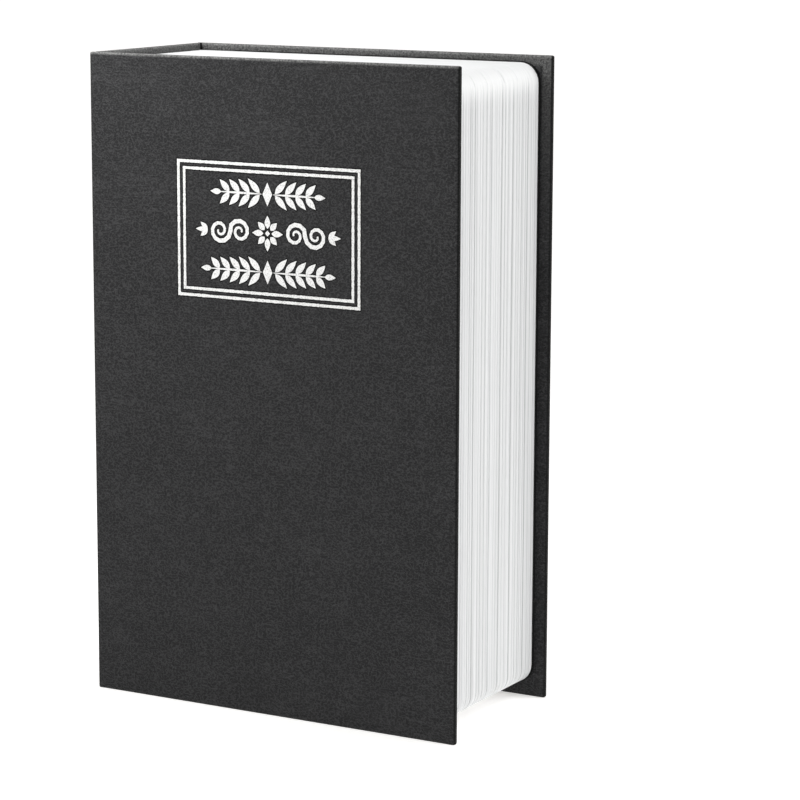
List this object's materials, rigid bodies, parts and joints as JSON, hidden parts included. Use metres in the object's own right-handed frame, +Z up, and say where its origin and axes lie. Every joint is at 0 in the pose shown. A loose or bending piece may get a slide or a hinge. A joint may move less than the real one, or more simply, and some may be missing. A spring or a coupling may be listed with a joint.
{
  "type": "book diversion safe",
  "caption": "Hard-cover book whose cover opens on a recessed steel strongbox lid with a turning knob and number wheels, framed by moulded imitation pages.",
  "frame": {"origin": "middle of the closed book's footprint, on the surface that it stands on", "axes": "+Z up along the spine, +X from the spine to the fore-edge, -Y out of the front cover"},
  "size_m": [0.115, 0.055, 0.18],
  "materials": {
    "cover_paper": "embossed matt black-grey covering paper",
    "grey_board": "bare grey board",
    "end_paper": "smooth dark end paper",
    "white_plastic": "moulded white, fine page lines",
    "grey_paint": "grey textured paint, smooth on the pressed slopes",
    "black_plastic": "black moulded",
    "gold_line": "gold bevelled line",
    "zinc_plate": "zinc plated",
    "brass": "plain turned"
  },
  "bodies": {
    "root": {"spine_board": "grey_board", "cover_paper_spine": "cover_paper", "back_board": "grey_board", "cover_paper_back": "cover_paper", "back_liner": "end_paper", "page_frame": "white_plastic", "tray": "grey_paint", "tray_rivet_1": "zinc_plate", "tray_rivet_2": "zinc_plate", "tray_rivet_3": "zinc_plate", "tray_rivet_4": "zinc_plate", "tray_rivet_5": "zinc_plate", "tray_rivet_6": "zinc_plate", "strike_bracket": "zinc_plate", "hinge_pin": "zinc_plate"},
    "front_cover": {"cover_paper_front": "cover_paper", "front_board": "grey_board", "front_liner": "end_paper"},
    "lid": {"lid_panel": "grey_paint", "lock_case": "black_plastic", "lock_trim": "gold_line", "lock_panel": "black_plastic", "lock_clip": "zinc_plate", "lock_back_cover": "black_plastic", "lock_screw_1": "zinc_plate", "lock_screw_2": "zinc_plate", "lock_screw_3": "zinc_plate", "lock_screw_4": "zinc_plate", "wheel_shaft": "zinc_plate", "detent_spring": "zinc_plate"},
    "knob": {"knob": "black_plastic", "knob_spindle": "zinc_plate", "latch_arm": "zinc_plate", "latch_washer": "zinc_plate", "latch_nut": "zinc_plate"},
    "wheel_1": {"number_wheel_1": "black_plastic", "gate_ring_1": "brass"},
    "wheel_2": {"number_wheel_2": "black_plastic", "gate_ring_2": "brass"},
    "wheel_3": {"number_wheel_3": "black_plastic", "gate_ring_3": "brass"},
    "fence": {"fence_bar": "zinc_plate"},
    "reset_lever": {"reset_lever": "brass"}
  },
  "joints": [
    {"name": "cover_hinge", "type": "hinge", "parent": "root", "child": "front_cover", "pos_m": [-0.0575, -0.02545, 0.09], "axis": [0, 0, -1], "range_deg": [0, 180]},
    {"name": "lid_hinge", "type": "hinge", "parent": "root", "child": "lid", "pos_m": [-0.0513, -0.0132, 0.091], "axis": [0, 0, -1], "range_deg": [0, 92]},
    {"name": "knob_turn", "type": "hinge", "parent": "lid", "child": "knob", "pos_m": [0.0183, -0.012, 0.1115], "axis": [0, 1, 0], "range_deg": [0, 90]},
    {"name": "fence_slide", "type": "slide", "parent": "lid", "child": "fence", "axis": [1, 0, 0], "range_m": [0, 0.0012]},
    {"name": "wheel_1_turn", "type": "hinge", "parent": "lid", "child": "wheel_1", "pos_m": [0.0168, -0.0137, 0.0909], "axis": [0, 0, 1], "continuous": true},
    {"name": "wheel_2_turn", "type": "hinge", "parent": "lid", "child": "wheel_2", "pos_m": [0.0168, -0.0137, 0.0833], "axis": [0, 0, 1], "continuous": true},
    {"name": "wheel_3_turn", "type": "hinge", "parent": "lid", "child": "wheel_3", "pos_m": [0.0168, -0.0137, 0.0757], "axis": [0, 0, 1], "continuous": true},
    {"name": "reset_slide", "type": "slide", "parent": "lid", "child": "reset_lever", "axis": [0, 0, 1], "range_m": [0, 0.002]}
  ],
  "couplings": [
    {"joint": "lid_hinge", "follows": "cover_hinge", "ratio": 0.5111},
    {"joint": "fence_slide", "follows": "knob_turn", "m_per_rad": 0.0007639}
  ]
}
